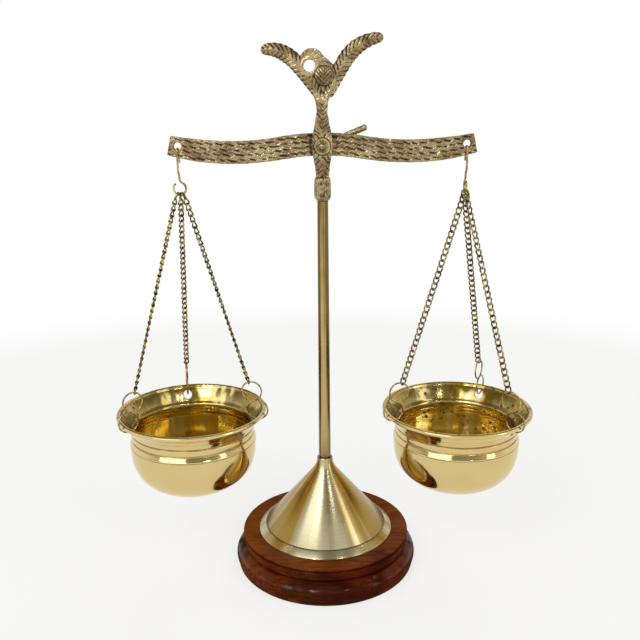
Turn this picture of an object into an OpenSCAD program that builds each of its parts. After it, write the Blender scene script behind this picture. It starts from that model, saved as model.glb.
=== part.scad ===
// Ornamental balance scale: turned wooden base, brass cone and column, cast eagle, moustache beam,
// and two flared pans that hang on curb chains.
// Origin: centre of the underside of the base. +Z is up, -Y is the front, the beam runs along X.

/* [Base] */
// Largest diameter of the turned wooden base
base_d = 111; // [106:1:120]
// Height of the wooden base
base_h = 21.5; // [19:0.5:26]
// Diameter of the flat top of the base
base_top_d = 102; // [94:1:103]
// Thickness of the lip over the fine line round the top disc
lip_t = 1.9; // [1.6:0.1:2.4]
// Diameter on which the base stands
base_foot_d = 108.6; // [102:0.2:109.4]
// Diameter of the recess in the underside for the nut
recess_d = 20; // [17:1:30]
// Depth of the recess
recess_depth = 9; // [8:0.5:12]

/* [Foot and column] */
// Diameter of the brass cone where it lies on the base
cone_d = 82; // [76:1:90]
// Height of the brass cone
cone_h = 46.6; // [42:0.2:52]
// Wall of the brass cone
cone_wall = 1.8; // [1.2:0.1:2.6]
// Distance from the cone's rim in to its engraved line
line_inset = 4.4; // [3.8:0.1:5.4]
// Height of the flank's lower end, just under the engraved line
line_rise = 3.8; // [3.2:0.1:4.4]
// Radius of the hollow sweep from flank to neck
neck_sweep = 13; // [10:1:17]
// Diameter of the neck on which the column sits
neck_d = 9.2; // [8.6:0.1:10]
// Diameter of the column at its lower end
column_low_d = 7.3; // [6.6:0.1:7.6]
// Diameter of the column at its upper end
column_top_d = 6.1; // [5.4:0.1:6.4]
// Diameter of the threaded stud under the column
stud_d = 4.8; // [4:0.1:5.2]
// Height of the beam pivot above the table
pivot_h = 253.6; // [235:0.2:275]

/* [Nut and washers] */
// Width of the base nut across its corners
nut_d = 9.2; // [8.4:0.1:11]
// Height of the base nut
nut_h = 4; // [3:0.1:4.4]
// Diameter of the washer under the base
base_washer_d = 15; // [12:0.5:16.5]
// Thickness of the washer under the base
base_washer_t = 1.2; // [0.8:0.1:1.6]
// Diameter of the two washers beside the beam
beam_washer_d = 8; // [6:0.2:9]
// Thickness of the two washers beside the beam
beam_washer_t = 0.5; // [0.3:0.1:0.9]

/* [Eagle] */
// Thickness of the eagle plate
plate_t = 3.4; // [2.8:0.1:4]
// Half of the plate's width at the pivot
plate_half_w = 5.7; // [5.2:0.1:6.4]
// Half of the plate's width at its waist above the beam
waist_half_w = 2.9; // [2.4:0.1:3.4]
// Half of a wing's width at its middle
wing_half_w = 5.1; // [4.4:0.1:5.8]
// Depth of the scallops that the feathers leave along a wing
feather_depth = 0.45; // [0.2:0.05:0.8]
// Number of feathers along a wing
feathers = 13; // [9:1:15]
// Diameter of the round hole below the head
eye_d = 6.3; // [5:0.1:7]
// Diameter of the domed breast
breast_d = 11; // [9:0.2:12]
// Height of the breast dome over the plate
breast_h = 1.6; // [1:0.1:2.2]
// Diameter of the socket that takes the column
socket_d = 8.9; // [8.2:0.1:10]
// Height of the socket
socket_h = 12.9; // [10.5:0.1:15]
// Distance from the pivot down to the top of the socket
socket_drop = 16.8; // [15.4:0.1:19]

/* [Beam] */
// Distance from the pivot to each end hole
arm = 80.3; // [76:0.1:86]
// Length of beam beyond each end hole
beam_over = 4.6; // [3.6:0.1:6]
// Height of the beam along its arms
beam_w = 12.4; // [11:0.1:14]
// Height of the beam at its ends
beam_end_w = 10.6; // [9.6:0.1:11.6]
// Thickness of the beam
beam_t = 4; // [3.2:0.1:4.8]
// Depth of the dip in each arm
beam_dip = 4.1; // [3:0.1:5]
// Diameter of the round hub in the middle of the beam
hub_d = 14.8; // [13.6:0.1:16]
// Diameter of the end holes
end_hole_d = 4.4; // [4:0.1:4.8]
// Diameter of the pivot bolt
bolt_d = 3; // [2.6:0.1:3.4]
// Diameter of the domed bolt head
bolt_head_d = 6.6; // [5.8:0.1:7.4]
// Distance from the bolt to the tip of the lever
lever_l = 27; // [22:0.5:34]
// Thickness of the lever's round bar
lever_d = 3; // [2.6:0.1:3.4]
// Angle of the lever above the beam
lever_angle = 22; // [15:1:30]

/* [Hooks and chains] */
// Wire of the two hooks
hook_wire = 1.2; // [1:0.05:1.4]
// Height of a hook from the end hole to its lower bend
hook_drop = 26.9; // [25:0.1:32]
// Radius of a hook's lower loop, at the middle of the wire
hook_loop = 3.5; // [3.4:0.1:4]
// Wire of the chain links
link_wire = 0.95; // [0.8:0.05:1]
// Width of a chain link over its wires
link_w = 3.95; // [3.7:0.05:4.2]
// Number of links in each chain
links = 34; // [33:1:35]
// Wire of the S hooks on the pans
rim_wire = 1; // [0.8:0.05:1.2]
// Radius of each loop of these S hooks, at the middle of the wire
rim_loop = 6; // [5.6:0.1:6.6]

/* [Pans] */
// Diameter of each pan over its rolled rim
pan_d = 90; // [84:1:94]
// Diameter of the bowl at its shoulder
bowl_d = 76; // [70:0.2:78]
// Diameter of the waist between bowl and rim
waist_d = 72.8; // [68:0.2:75]
// Height of the shoulder over the bottom
shoulder_h = 32.2; // [29:0.2:36]
// Height of the waist over the shoulder
waist_rise = 4; // [3.2:0.1:4.8]
// Height of the rim over the waist
flare_rise = 12.8; // [11.6:0.1:14.4]
// Wall of the pans
pan_wall = 1.1; // [0.8:0.05:1.4]
// Diameter of the rolled rim
bead_d = 2.8; // [2.4:0.1:3.2]
// Height of the rim over the table
rim_h = 97; // [90:0.5:104]
// Diameter of the three holes under the rim
rim_hole_d = 5.3; // [4.6:0.1:5.6]

/* [Clearances] */
// Gap between a bolt and its bore
bore_gap = 0.1; // [0.05:0.05:0.2]
// Gap between faces that slide on each other
slide_gap = 0.1; // [0.1:0.05:0.2]
// Gap between linked wires
wire_gap = 0.12; // [0.1:0.02:0.16]

/* [Hidden] */
$fn = 48;

BRASS = [0.80, 0.66, 0.36];
CAST_BRASS = [0.66, 0.56, 0.36];
WOOD = [0.42, 0.16, 0.08];
STEEL = [0.62, 0.62, 0.64];

// Heights of the stand
neck_z = base_h + cone_h;
socket_z = pivot_h - socket_drop - socket_h;
socket_depth = socket_h - 2.5;
column_end_z = socket_z + socket_depth;
stud_end_z = recess_depth - base_washer_t - nut_h - 1;

// Places of the pieces along the pivot bolt, from front to back
plate_back_y = plate_t / 2;
beam_front_y = plate_back_y + beam_washer_t + slide_gap;
beam_y = beam_front_y + beam_t / 2;
beam_back_y = beam_front_y + beam_t;
rear_washer_y = beam_back_y + slide_gap;
lever_y = rear_washer_y + beam_washer_t + slide_gap;
lever_hub_t = lever_d;
bolt_end_y = lever_y + lever_hub_t + 1;

// Beam: its middle line lies over the bolt, and its end holes nearly level with it
beam_lift = 1;
end_hole_z = pivot_h + 0.6;
beam_steps = 44;

// A hook's wire lies in the bottom of its end hole
hook_top_z = end_hole_z - end_hole_d / 2 + hook_wire / 2 + 1.7 * wire_gap;
hook_bottom_z = end_hole_z - hook_drop;
hook_face_gap = 0.3;
hook_leg_y = beam_t / 2 + hook_wire / 2 + hook_face_gap;
hook_bend = 1.1;
hook_sweep = 3;
hook_tail = 7;
loop_z = hook_bottom_z + hook_loop;

// Pan sizes above its own bottom
pan_bottom_z = rim_h - flare_rise - waist_rise - shoulder_h;
bead_r = bead_d / 2;
bead_place_r = pan_d / 2 - bead_r;
waist_z = shoulder_h + waist_rise;
bead_z = waist_z + flare_rise;
bowl_power = 2.76;
flare_power = 1.6;
rim_hole_z = bead_z - bead_r - rim_hole_d / 2;

// Directions of the three holes around each pan, seen from above: front, back and side
LEFT_TURNS = [353, 103, 215];
RIGHT_TURNS = [315, 59, 194];
// Places of the three top links around a hook's loop
top_link_turn = 28;
first_pitch = 3.4;
// Each link is turned by this angle against the one before it
link_twist = 72;
// An S hook's lower loop goes round the rolled rim, whose middle lies off the loop's own middle
rim_hook_arc = 322;
rim_hook_seat = 0.3;
rim_hook_offset = rim_loop - rim_wire / 2 - bead_r - rim_hook_seat;
rim_hook_side = 38;

// Small vector helpers
function unit(v) = v / norm(v);
function frame(place, x, z) =
    let (y = cross(z, x))
    [[x[0], y[0], z[0], place[0]], [x[1], y[1], z[1], place[1]], [x[2], y[2], z[2], place[2]], [0, 0, 0, 1]];
function bezier(p, t) =
    pow(1 - t, 3) * p[0] + 3 * t * pow(1 - t, 2) * p[1] + 3 * t * t * (1 - t) * p[2] + pow(t, 3) * p[3];
function arc(centre, r, from, to, steps) =
    [for (i = [0 : steps]) let (a = from + (to - from) * i / steps) centre + r * [cos(a), sin(a)]];
function reversed(p) = [for (i = [len(p) - 1 : -1 : 0]) p[i]];

// Puts children that are drawn along Z onto the line of the pivot bolt, starting at depth y
module on_bolt(y) {
    translate([0, y, pivot_h]) rotate([-90, 0, 0]) children();
}

module washer(outer, inner, t) {
    difference() {
        cylinder(d = outer, h = t);
        translate([0, 0, -1]) cylinder(d = inner, h = t + 2);
    }
}

// Round wire along a list of [straight length, bend radius, bend angle, turn about the wire].
// A straight length is drawn a hair thinner than the bends and reaches a little into them.
module wire_run(d, moves, i = 0) {
    reach = 0.05;
    if (i < len(moves)) {
        run = moves[i][0];
        bend = moves[i][1];
        angle = moves[i][2];
        translate([0, 0, i == 0 ? 0 : -reach])
            cylinder(d = d - reach / 2, h = run + (i == 0 ? 1 : 2) * reach);
        translate([0, 0, run]) rotate([0, 0, moves[i][3]]) {
            if (angle > 0)
                translate([bend, 0, 0]) rotate([90, 0, 0]) rotate([0, 0, 180 - angle])
                    rotate_extrude(angle = angle) translate([bend, 0]) circle(d = d);
            translate([bend * (1 - cos(angle)), 0, bend * sin(angle)]) rotate([0, angle, 0])
                wire_run(d, moves, i + 1);
        }
    }
}

// Wooden base: a disc with a bead round its edge over a hollow groove and a bulging foot
module wooden_base() {
    top_r = base_top_d / 2;
    foot_r = base_foot_d / 2;
    groove_z = base_h * 0.62;
    bulge_z = base_h * 0.3;
    groove_r = top_r - 1.6;
    edge_r = 1.2;
    line_z = base_h - lip_t;
    profile = concat(
        [[0, 0], [foot_r - edge_r, 0]],
        arc([foot_r - edge_r, edge_r], edge_r, -90, 0, 4),
        arc([base_d / 2 - 5.2, bulge_z], 5.2, -24, 62, 8),
        [[groove_r, groove_z - 0.5], [groove_r, groove_z + 0.4]],
        [[top_r - 0.3, groove_z + 1.4], [top_r - 0.2, line_z - 0.35]],
        [[top_r - 0.7, line_z], [top_r - 0.1, line_z + 0.35]],
        arc([top_r - edge_r, base_h - edge_r], edge_r, 0, 90, 4),
        [[0, base_h]]
    );
    color(WOOD) difference() {
        rotate_extrude($fn = 96) polygon(profile);
        translate([0, 0, -1]) cylinder(d = recess_d, h = recess_depth + 1);
        cylinder(d = stud_d + 2 * bore_gap, h = base_h + 1);
    }
}

module base_washer() {
    color(STEEL) translate([0, 0, recess_depth - base_washer_t])
        washer(base_washer_d, stud_d + 2 * bore_gap, base_washer_t);
}

module base_nut() {
    color(STEEL) translate([0, 0, recess_depth - base_washer_t - nut_h]) difference() {
        cylinder(d = nut_d, h = nut_h, $fn = 6);
        translate([0, 0, -1]) cylinder(d = stud_d + 2 * bore_gap, h = nut_h + 2);
    }
}

// Brass cone: thin lip, flared edge, straight flank and a hollow sweep into the neck
function cone_line(inset) =
    let (
        flare = [cone_d / 2 - line_inset - inset, line_rise],
        centre = [neck_d / 2 + neck_sweep, cone_h],
        sweep = neck_sweep + inset,
        reach = norm(centre - flare),
        lead = atan2(centre[1] - flare[1], centre[0] - flare[0]) + asin(sweep / reach)
    )
    concat(
        [[cone_d / 2 - inset, 0], [cone_d / 2 - inset, 0.7], flare],
        arc(centre, sweep, lead + 90, 180, 10)
    );

module cone_foot() {
    groove_r = cone_d / 2 - line_inset;
    boss_h = 9;
    color(BRASS) translate([0, 0, base_h]) difference() {
        rotate_extrude($fn = 96) polygon(concat([[0, 0]], cone_line(0), [[0, cone_h]]));
        translate([0, 0, -cone_wall]) rotate_extrude($fn = 96) polygon(concat(
            [[0, 0], [groove_r, 0]],
            [for (p = cone_line(cone_wall)) if (p[1] > 2 && p[1] < cone_h - boss_h) p],
            [[0, cone_h - boss_h]]
        ));
        translate([0, 0, -1]) cylinder(d = stud_d + 2 * bore_gap, h = cone_h + 2);
        rotate_extrude($fn = 96) translate([groove_r, line_rise + 0.3]) circle(r = 0.5);
    }
}

// Column: a slightly tapered rod whose lower shoulder stands on the neck, with a stud through the base
module column() {
    color(BRASS) {
        translate([0, 0, neck_z])
            cylinder(d1 = column_low_d, d2 = column_top_d, h = column_end_z - neck_z);
        translate([0, 0, stud_end_z]) cylinder(d = stud_d, h = neck_z - stud_end_z);
    }
}

// Outline of a wing: a curved spine with a half width that swells and tapers, scalloped along both edges
function wing_width(t, tip) =
    let (swell = wing_half_w + (tip - wing_half_w) * pow(t, 3) - 2.6 * pow(1 - t, 2))
    swell + feather_depth * (abs(sin(180 * feathers * t)) - 0.5) * (t < 0.97 ? 1 : 0);
function wing_side(spine, tip, side, steps) =
    [for (i = [0 : steps])
        let (
            t = i / steps,
            along = unit(bezier(spine, min(1, t + 0.01)) - bezier(spine, max(0, t - 0.01)))
        )
        bezier(spine, t) + side * wing_width(t, tip) * [-along[1], along[0]]];

module wing(spine, tip) {
    steps = 60;
    last = wing_side(spine, tip, 1, steps)[steps] - wing_side(spine, tip, -1, steps)[steps];
    heading = atan2(last[1], last[0]);
    polygon(concat(
        wing_side(spine, tip, 1, steps),
        arc(spine[3], norm(last) / 2, heading, heading - 180, 10),
        reversed(wing_side(spine, tip, -1, steps))
    ));
}

// Outline of the plate from the socket to the breast, from its half widths at heights over the pivot
module trunk() {
    stations = [
        [-socket_drop - 0.5, 3.5], [-11, 4.1], [-6, plate_half_w - 0.7], [0, plate_half_w],
        [5, plate_half_w - 0.3], [8.5, plate_half_w - 0.9], [12.5, waist_half_w + 1],
        [18.5, waist_half_w], [24, waist_half_w + 0.6], [28, waist_half_w + 2.4], [32.5, waist_half_w + 5]
    ];
    polygon(concat(
        [for (s = stations) [s[1], s[0]]],
        [for (s = reversed(stations)) [-s[1], s[0]]]
    ));
}

module eagle_outline() {
    left_spine = [[-2.5, 28], [-9, 39], [-17, 52], [-29.5, 50.8]];
    right_spine = [[3.2, 27], [9, 37], [12.5, 53.8], [30.2, 56.3]];
    trunk();
    wing(left_spine, 2.9);
    wing(right_spine, 2.7);
    translate([-5.2, 44.6]) circle(r = 6.7);
    polygon([[-9, 47], [-1.6, 50.2], [1.2, 47.2], [6.4, 42.8], [10, 36], [0, 24], [-8, 32], [-13, 40]]);
}

// Cast eagle: flat plate with wings, breast dome, pivot boss and the socket that takes the column
module eagle_finial() {
    breast_place = [1.3, 0, 37.2];
    dome_r = (pow(breast_d / 2, 2) + pow(breast_h, 2)) / (2 * breast_h);
    boss_t = 0.6;
    boss_d = bolt_head_d + 2.8;
    color(CAST_BRASS) difference() {
        union() {
            translate([0, plate_t / 2, pivot_h]) rotate([90, 0, 0])
                linear_extrude(plate_t) eagle_outline();
            on_bolt(-plate_t / 2 - boss_t) cylinder(d = boss_d, h = plate_t / 2 + boss_t);
            translate([0, -plate_t / 2, pivot_h] + breast_place) rotate([90, 0, 0]) intersection() {
                translate([0, 0, breast_h - dome_r]) sphere(r = dome_r);
                translate([0, 0, -1]) cylinder(d = breast_d, h = breast_h + 2);
            }
            translate([0, 0, socket_z]) rotate_extrude() polygon(concat(
                [[0, 0], [socket_d / 2 - 0.9, 0], [socket_d / 2, 1.6]],
                arc([socket_d / 2 - 0.8, socket_h - 0.8], 0.8, 0, 90, 4),
                [[0, socket_h]]
            ));
        }
        on_bolt(-plate_t) cylinder(d = bolt_d + 2 * bore_gap, h = 2 * plate_t);
        on_bolt(-plate_t / 2 - 2 * boss_t) washer(boss_d - 1, boss_d - 2, boss_t * 1.6);
        translate([-6.5, -plate_t, pivot_h + 42.3]) rotate([-90, 0, 0]) cylinder(d = eye_d, h = 2 * plate_t);
        translate([0, 0, socket_z - 1])
            cylinder(d = column_top_d + 0.3 + 2 * bore_gap, h = socket_depth + 1 + bore_gap);
    }
}

// Pivot bolt: domed head in front of the eagle, plain shank through plate, beam and lever
module pivot_bolt() {
    head_h = 2.4;
    dome_r = (pow(bolt_head_d / 2, 2) + pow(head_h, 2)) / (2 * head_h);
    head_y = -plate_t / 2 - 0.6;
    half_angle = asin(bolt_head_d / 2 / dome_r);
    color(CAST_BRASS) {
        translate([0, head_y, pivot_h]) rotate([90, 0, 0]) rotate_extrude() polygon(concat(
            [[0, 0]],
            arc([0, head_h - dome_r], dome_r, 90 - half_angle, 90, 8)
        ));
        on_bolt(head_y) cylinder(d = bolt_d, h = bolt_end_y - head_y - 0.5);
        on_bolt(bolt_end_y - 0.5) cylinder(d1 = bolt_d, d2 = bolt_d - 1, h = 0.5);
    }
}

module front_washer() {
    color(BRASS) on_bolt(plate_back_y) washer(beam_washer_d, bolt_d + 2 * bore_gap, beam_washer_t);
}

module rear_washer() {
    color(BRASS) on_bolt(rear_washer_y) washer(beam_washer_d, bolt_d + 2 * bore_gap, beam_washer_t);
}

// Middle line of the beam: a crown over the pivot, a dip in each arm, and ends that rise again
crown_x = (arm + beam_over) * 0.265;
dip_x = (arm + beam_over) * 0.575;
function beam_mid(x) =
    let (u = abs(x), slope = 2 * beam_dip / dip_x)
    u < crown_x ? beam_lift - slope * u * u / (2 * crown_x)
        : beam_lift - beam_dip + slope * pow(dip_x - u, 2) / (2 * (dip_x - crown_x));
function beam_half(x) =
    let (u = abs(x), run = max(0, u - arm * 0.7) / (arm * 0.3 + beam_over))
    beam_w / 2 - (beam_w - beam_end_w) / 2 * run * run;
function beam_edge(side) =
    [for (i = [-beam_steps : beam_steps])
        let (
            x = (arm + beam_over) * i / beam_steps,
            along = unit([1, (beam_mid(x + 0.5) - beam_mid(x - 0.5))])
        )
        [x, beam_mid(x)] + side * beam_half(x) * [-along[1], along[0]]];

module beam() {
    color(CAST_BRASS) translate([0, beam_back_y, pivot_h]) rotate([90, 0, 0]) difference() {
        union() {
            linear_extrude(beam_t) polygon(concat(beam_edge(-1), reversed(beam_edge(1))));
            translate([0, beam_lift - 0.3, 0]) cylinder(d = hub_d, h = beam_t);
        }
        translate([0, 0, -1]) cylinder(d = bolt_d + 2 * bore_gap, h = beam_t + 2);
        for (side = [-1, 1])
            translate([side * arm, end_hole_z - pivot_h, -1]) cylinder(d = end_hole_d, h = beam_t + 2);
    }
}

// Clamp lever: a round bar with a ball end on a hub behind the beam
module clamp_lever() {
    hub_w = 8.4;
    color(CAST_BRASS) difference() {
        union() {
            on_bolt(lever_y) cylinder(d = hub_w, h = lever_hub_t);
            translate([0, lever_y + lever_hub_t / 2, pivot_h]) rotate([0, 90 - lever_angle, 0]) {
                cylinder(d = lever_d - 0.2, h = lever_l - lever_d / 2);
                translate([0, 0, lever_l - lever_d / 2]) sphere(d = lever_d);
            }
        }
        on_bolt(lever_y - 1) cylinder(d = bolt_d + 2 * bore_gap, h = lever_hub_t + 2);
    }
}

// Turn of a bend that is answered by an opposite one after a short stub, so that the wire comes out
// at a given level across its line
function sweep_turn(reach, level, stub) = acos(level / norm([reach, stub])) - atan(stub / reach);

// S hook: a staple through the end hole of the beam, a shank that sweeps back under the beam,
// and an open loop. plane is the turn of that loop about the shank.
module beam_hook(side, plane) {
    stub = 0.2;
    back_turn = sweep_turn(2 * hook_sweep, 2 * hook_sweep - hook_leg_y, stub);
    loop_turn = sweep_turn(hook_sweep + hook_loop, hook_sweep, stub);
    lead = (hook_sweep + hook_loop) * sin(loop_turn);
    front_run = hook_top_z - hook_bend - loop_z - 2 * hook_sweep * sin(back_turn) - lead
        - stub * (1 + cos(back_turn) + cos(loop_turn));
    color(BRASS) translate([side * arm, beam_y + hook_leg_y, hook_top_z - hook_bend - hook_tail])
        wire_run(hook_wire, [
            [hook_tail, hook_bend, 90, -90],
            [2 * (hook_leg_y - hook_bend), hook_bend, 90, 0],
            [front_run, hook_sweep, back_turn, 0],
            [stub, hook_sweep, back_turn, 180],
            [stub, hook_sweep, loop_turn, plane],
            [stub, hook_loop, loop_turn + 232, 180]
        ]);
}

module left_hook() {
    beam_hook(-1, -90);
}

module right_hook() {
    beam_hook(1, 180);
}

// Pan: spun bowl with a flat-bottomed belly, a drawn-in waist, a flared neck and a rolled rim.
// The line is drawn from the bottom centre to the rim, set in by a wall where asked.
function flare_out(s) = (bead_place_r - waist_d / 2) * pow(s, flare_power);
function pan_line(inset) =
    let (
        r = bowl_d / 2 - inset,
        h = shoulder_h - inset,
        turn = 90 / 20,
        neck_r = waist_d / 2 - inset
    )
    concat(
        [for (i = [0 : 20]) let (a = i * turn)
            [r * pow(sin(a), 2 / bowl_power), shoulder_h - h * pow(cos(a), 2 / bowl_power)]],
        [[r - 0.2, shoulder_h + 0.9], [neck_r, shoulder_h + waist_rise]],
        [for (i = [1 : 8])
            let (s = i / 8, lean = atan(flare_power * flare_out(s) / s / flare_rise))
            [waist_d / 2 + flare_out(s), waist_z + flare_rise * s] + inset * [-cos(lean), sin(lean)]]
    );

module pan(side, turns) {
    color(BRASS) translate([side * arm, beam_y, pan_bottom_z]) difference() {
        union() {
            rotate_extrude($fn = 96) polygon(concat(pan_line(0), reversed(pan_line(pan_wall))));
            rotate_extrude($fn = 96) translate([bead_place_r, bead_z]) circle(d = bead_d);
        }
        for (turn = turns)
            rotate([0, 0, turn]) translate([waist_d / 2 - 6, 0, rim_hole_z]) rotate([0, 90, 0])
                cylinder(d = rim_hole_d, h = pan_d / 2 - waist_d / 2 + 8);
    }
}

// Middle of an S hook's lower loop, which passes through a rim hole and round the rolled rim
function rim_loop_place(side, turn) =
    let (
        r = bead_place_r - rim_hook_offset * cos(rim_hook_side),
        z = pan_bottom_z + bead_z + rim_hook_offset * sin(rim_hook_side)
    )
    [side * arm + r * cos(turn), beam_y + r * sin(turn), z];

// Top link of a chain: where it hangs inside the hook's loop. spread is -1, 0 or 1.
function hook_along(side) = side < 0 ? [1, 0, 0] : [0, 1, 0];
function hook_across(side) = side < 0 ? [0, 1, 0] : [1, 0, 0];
function top_radial(side, spread) =
    sin(spread * top_link_turn) * hook_along(side) - cos(spread * top_link_turn) * [0, 0, 1];
function hook_place(side, spread) = [side * arm, beam_y, loop_z] + hook_loop * top_radial(side, spread);
function top_lean(side, spread, turn) =
    let (
        down = unit(rim_loop_place(side, turn) - hook_place(side, spread)),
        radial = top_radial(side, spread),
        across = hook_across(side)
    )
    unit((down * radial) * radial + (down * across) * across);
function top_place(side, spread, turn) =
    hook_place(side, spread) - (hook_wire / 2 + link_wire / 2 + wire_gap) * top_lean(side, spread, turn);
function second_place(side, spread, turn) =
    top_place(side, spread, turn) + (first_pitch - 3 * wire_gap) * top_lean(side, spread, turn);
function chain_down(side, spread, turn) =
    unit(rim_loop_place(side, turn) - second_place(side, spread, turn));
function tangent(turn) = [-sin(turn), cos(turn), 0];

// One oval link, drawn from the middle of its upper bend downwards along Z
module link(pitch) {
    bend = (link_w - link_wire) / 2;
    side_run = pitch + link_wire + wire_gap - 2 * bend;
    translate([0, 0, bend]) rotate([90, 0, 0]) {
        for (end = [0, 1])
            translate([0, end * side_run, 0]) rotate([0, 0, end ? 0 : 180])
                rotate_extrude(angle = 180) translate([bend, 0]) circle(d = link_wire);
        for (x = [-bend, bend])
            translate([x, 0, 0]) rotate([-90, 0, 0]) cylinder(d = link_wire, h = side_run);
    }
}

// Chain: a top link round the hook, then a straight run of links whose flat side turns slowly
module chain(side, spread, turn) {
    top = top_place(side, spread, turn);
    lean = top_lean(side, spread, turn);
    start = second_place(side, spread, turn);
    down = chain_down(side, spread, turn);
    loop_top = rim_loop_place(side, turn) - 3 * rim_loop * down;
    hold = rim_wire / 2 + link_wire / 2 + wire_gap;
    pitch = (norm(loop_top + hold * down - start) - link_wire - wire_gap) / (links - 1);
    across = unit(cross(tangent(turn), down));
    top_wide = unit(cross(cross(top_radial(side, spread), hook_across(side)), lean));
    first_turn = atan2(top_wide * tangent(turn), top_wide * across);
    twist = spread < 0 ? -link_twist : link_twist;
    last_turn = 90 - (links % 2 == 0 ? twist : 0);
    drift = (last_turn - first_turn + 720 + 90) % 180 - 90;
    color(BRASS) {
        multmatrix(frame(top, top_wide, lean)) link(first_pitch);
        for (i = [1 : links - 1]) {
            flat = first_turn + drift * i / (links - 1) + (i % 2 == 1 ? twist : 0);
            wide = unit(cos(flat) * across + sin(flat) * tangent(turn));
            multmatrix(frame(start + (i - 1) * pitch * down, wide, down)) link(pitch);
        }
    }
}

// S hook of two nearly closed loops between a chain's last link and a rim hole
module rim_hook(side, spread, turn) {
    up = -chain_down(side, spread, turn);
    out = unit(cross(tangent(turn), up));
    color(BRASS) multmatrix(frame(rim_loop_place(side, turn) + rim_loop * up, out, up))
        rotate([90, 0, 0]) for (end = [-1, 1])
            translate([0, end * rim_loop, 0]) rotate([0, 0, -90 * end])
                rotate_extrude(angle = rim_hook_arc) translate([rim_loop, 0]) circle(d = rim_wire);
}

module left_pan() {
    pan(-1, LEFT_TURNS);
}

module right_pan() {
    pan(1, RIGHT_TURNS);
}

module left_chain_front() {
    chain(-1, 1, LEFT_TURNS[0]);
}

module left_chain_back() {
    chain(-1, 0, LEFT_TURNS[1]);
}

module left_chain_side() {
    chain(-1, -1, LEFT_TURNS[2]);
}

module left_rim_hook_front() {
    rim_hook(-1, 1, LEFT_TURNS[0]);
}

module left_rim_hook_back() {
    rim_hook(-1, 0, LEFT_TURNS[1]);
}

module left_rim_hook_side() {
    rim_hook(-1, -1, LEFT_TURNS[2]);
}

module right_chain_front() {
    chain(1, -1, RIGHT_TURNS[0]);
}

module right_chain_back() {
    chain(1, 1, RIGHT_TURNS[1]);
}

module right_chain_side() {
    chain(1, 0, RIGHT_TURNS[2]);
}

module right_rim_hook_front() {
    rim_hook(1, -1, RIGHT_TURNS[0]);
}

module right_rim_hook_back() {
    rim_hook(1, 1, RIGHT_TURNS[1]);
}

module right_rim_hook_side() {
    rim_hook(1, 0, RIGHT_TURNS[2]);
}

wooden_base();
base_washer();
base_nut();
cone_foot();
column();
eagle_finial();
pivot_bolt();
front_washer();
rear_washer();
beam();
clamp_lever();
left_hook();
right_hook();
left_pan();
left_chain_front();
left_chain_back();
left_chain_side();
left_rim_hook_front();
left_rim_hook_back();
left_rim_hook_side();
right_pan();
right_chain_front();
right_chain_back();
right_chain_side();
right_rim_hook_front();
right_rim_hook_back();
right_rim_hook_side();
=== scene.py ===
"""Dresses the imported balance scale.

Each sub-assembly is a class with its sizes in millimetres. Meshes are worked in millimetres and
become metres when a piece is finished. The stand's axis is the Z axis and the front faces -Y.
"""
import logging
import math
from dataclasses import dataclass
from enum import Enum
from typing import Sequence

import bmesh
import bpy
from mathutils import Matrix, Vector, noise


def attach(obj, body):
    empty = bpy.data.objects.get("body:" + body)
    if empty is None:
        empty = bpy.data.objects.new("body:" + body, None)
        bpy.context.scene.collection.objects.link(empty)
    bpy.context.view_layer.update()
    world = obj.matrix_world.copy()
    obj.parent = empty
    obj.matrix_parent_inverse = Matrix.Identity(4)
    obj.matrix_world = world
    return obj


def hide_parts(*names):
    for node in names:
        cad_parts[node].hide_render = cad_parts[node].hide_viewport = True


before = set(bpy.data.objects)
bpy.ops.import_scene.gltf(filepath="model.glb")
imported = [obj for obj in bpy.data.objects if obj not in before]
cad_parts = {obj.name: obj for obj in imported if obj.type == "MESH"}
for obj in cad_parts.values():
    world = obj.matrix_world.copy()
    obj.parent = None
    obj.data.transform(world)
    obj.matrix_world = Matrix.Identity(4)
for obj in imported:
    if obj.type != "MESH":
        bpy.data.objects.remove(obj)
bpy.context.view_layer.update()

MM = 0.001
PIVOT_Z = 253.6
BEAM_Y = 4.3
ARM = 80.3
Point = tuple[float, float]
Triple = tuple[float, float, float]
log = logging.getLogger("scale")


@dataclass(frozen=True)
class Signal:
    """A value on its way through a material. Arithmetic on it adds Math nodes."""

    graph: "Graph"
    socket: bpy.types.NodeSocket

    def __add__(self, other: "Signal | float") -> "Signal":
        """Sum."""
        return self.graph.math("ADD", self, other)

    def __sub__(self, other: "Signal | float") -> "Signal":
        """Difference."""
        return self.graph.math("SUBTRACT", self, other)

    def __rsub__(self, other: "Signal | float") -> "Signal":
        """Difference from a number."""
        return self.graph.math("SUBTRACT", other, self)

    def __mul__(self, other: "Signal | float") -> "Signal":
        """Product."""
        return self.graph.math("MULTIPLY", self, other)

    def sine(self) -> "Signal":
        """Sine of the value in radians."""
        return self.graph.math("SINE", self)

    def size(self) -> "Signal":
        """The value without its sign."""
        return self.graph.math("ABSOLUTE", self)

    def ramp(self, low: float, high: float) -> "Signal":
        """0 below low, 1 above high, and smooth between them."""
        sockets = {"Value": self, "From Min": low, "From Max": high}
        return self.graph.signal("ShaderNodeMapRange", sockets, interpolation_type="SMOOTHSTEP")


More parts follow.
